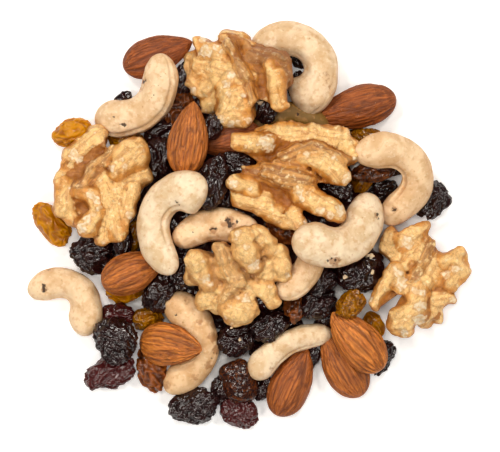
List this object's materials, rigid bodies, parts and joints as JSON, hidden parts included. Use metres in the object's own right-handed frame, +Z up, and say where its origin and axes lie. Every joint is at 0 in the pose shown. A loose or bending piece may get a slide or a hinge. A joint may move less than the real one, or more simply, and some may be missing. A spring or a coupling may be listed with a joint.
{
  "type": "heap of trail mix",
  "caption": "Loose heap of trail mix lying on a table: walnut halves, cashews, almonds and raisins, low in the middle and uneven round the rim.",
  "frame": {"origin": "on the table, under the middle of the heap's box", "axes": "+Z up from the table; +Y towards the top of the picture, which looks straight down; +X to its right"},
  "size_m": [0.1418, 0.131, 0.027],
  "materials": {
    "mix": "dry toasted tan, the heap on the whole",
    "walnut": "dry golden tan skin with pale bare patches",
    "cashew": "dry ivory with a few brown specks",
    "almond": "matt red-brown skin with fine grooves and dust",
    "raisin": "wrinkled black-purple skin, a little sticky and glossy",
    "golden_raisin": "wrinkled amber skin, slightly glossy and see-through"
  },
  "bodies": {
    "root": {"trail_mix_heap": "mix"}
  },
  "joints": []
}
